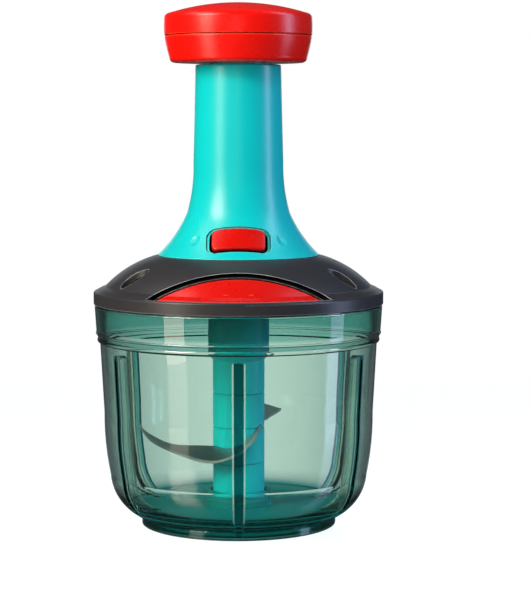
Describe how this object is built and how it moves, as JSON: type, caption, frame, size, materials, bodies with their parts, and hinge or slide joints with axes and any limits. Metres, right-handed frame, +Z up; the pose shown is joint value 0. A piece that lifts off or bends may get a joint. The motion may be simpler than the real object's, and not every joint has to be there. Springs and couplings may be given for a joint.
{
  "type": "plunger food chopper",
  "caption": "Hand food chopper: a clear bowl with a curved blade unit, and a domed lid whose tall tower guides a push-down plunger knob that spins the blades.",
  "frame": {"origin": "centre of the foot, on the surface that the chopper stands on", "axes": "+Z up along the plunger's axis, -Y the front with the lock button and the stop button, +X the right side seen from the front"},
  "size_m": [0.145, 0.145, 0.2604],
  "materials": {
    "clear_bowl": "injection-moulded clear copolyester, tinted green, polished",
    "clear_ring": "translucent silicone",
    "teal_shell": "moulded ABS, fine satin",
    "teal_hub": "moulded acetal, semi-gloss",
    "lid_grey": "moulded ABS, fine matt texture",
    "inner_grey": "moulded polypropylene",
    "red_gloss": "moulded ABS, polished",
    "soft_grey": "moulded silicone",
    "brake_rubber": "moulded nitrile rubber",
    "white_acetal": "moulded acetal",
    "blade_steel": "stamped stainless steel, ground edge",
    "machined_steel": "turned stainless steel",
    "spring_steel": "drawn spring steel",
    "bush_brass": "sintered bronze bush",
    "screw_steel": "zinc-plated steel"
  },
  "bodies": {
    "bowl": {"bowl": "clear_bowl", "base_ring": "clear_ring", "pivot_pin": "machined_steel"},
    "blade_unit": {"blade_hub": "teal_hub", "pivot_bush": "bush_brass", "lower_blade": "blade_steel", "middle_sleeve": "teal_hub", "upper_blade": "blade_steel", "upper_sleeve": "teal_hub", "blade_head": "teal_hub", "core_rod": "machined_steel"},
    "lid": {"lid_shell": "lid_grey", "lid_base": "inner_grey", "lid_seal": "soft_grey", "tower": "teal_shell", "tower_collar": "white_acetal", "drive_bush": "bush_brass", "spring_seat": "spring_steel", "lock_pin": "machined_steel", "lid_screws": "screw_steel", "tower_screws": "screw_steel", "return_spring": "spring_steel", "lock_spring": "spring_steel", "stop_spring": "spring_steel", "thrust_washer": "machined_steel"},
    "plunger": {"knob_cap": "red_gloss", "knob_base": "red_gloss", "plunger_tube": "teal_hub", "drive_nut": "white_acetal", "knob_screws": "screw_steel"},
    "drive": {"drive_rod": "machined_steel", "clutch_hub": "white_acetal", "clutch_rollers": "machined_steel", "clutch_cover": "machined_steel", "drive_coupling": "white_acetal"},
    "lock_button": {"lock_button": "red_gloss"},
    "stop_button": {"stop_button": "red_gloss", "brake_pad": "brake_rubber"}
  },
  "joints": [
    {"name": "lid_lift", "type": "slide", "parent": "bowl", "child": "lid", "axis": [0, 0, 1], "range_m": [0, 0.04]},
    {"name": "plunger_slide", "type": "slide", "parent": "lid", "child": "plunger", "axis": [0, 0, 1], "range_m": [0, 0.055], "deforming": ["return_spring"]},
    {"name": "drive_spin", "type": "hinge", "parent": "lid", "child": "drive", "pos_m": [0, 0, 0.119], "axis": [0, 0, 1], "range_deg": [-496, 0]},
    {"name": "blade_spin", "type": "hinge", "parent": "bowl", "child": "blade_unit", "pos_m": [0, 0, 0.02], "axis": [0, 0, 1], "range_deg": [-496, 0]},
    {"name": "lock_press", "type": "hinge", "parent": "lid", "child": "lock_button", "pos_m": [0, -0.0216, 0.1526], "axis": [1, 0, 0], "range_deg": [0, 6], "stiffness_Nm_per_rad": 0.2, "springref_deg": -2.86, "deforming": ["lock_spring"]},
    {"name": "stop_press", "type": "slide", "parent": "lid", "child": "stop_button", "axis": [0, 1, 0], "range_m": [0, 0.0024], "stiffness_N_per_m": 400, "springref_m": -0.002, "deforming": ["stop_spring"]}
  ],
  "couplings": [
    {"joint": "drive_spin", "follows": "plunger_slide", "rad_per_m": -157.08},
    {"joint": "blade_spin", "follows": "plunger_slide", "rad_per_m": -157.08}
  ]
}
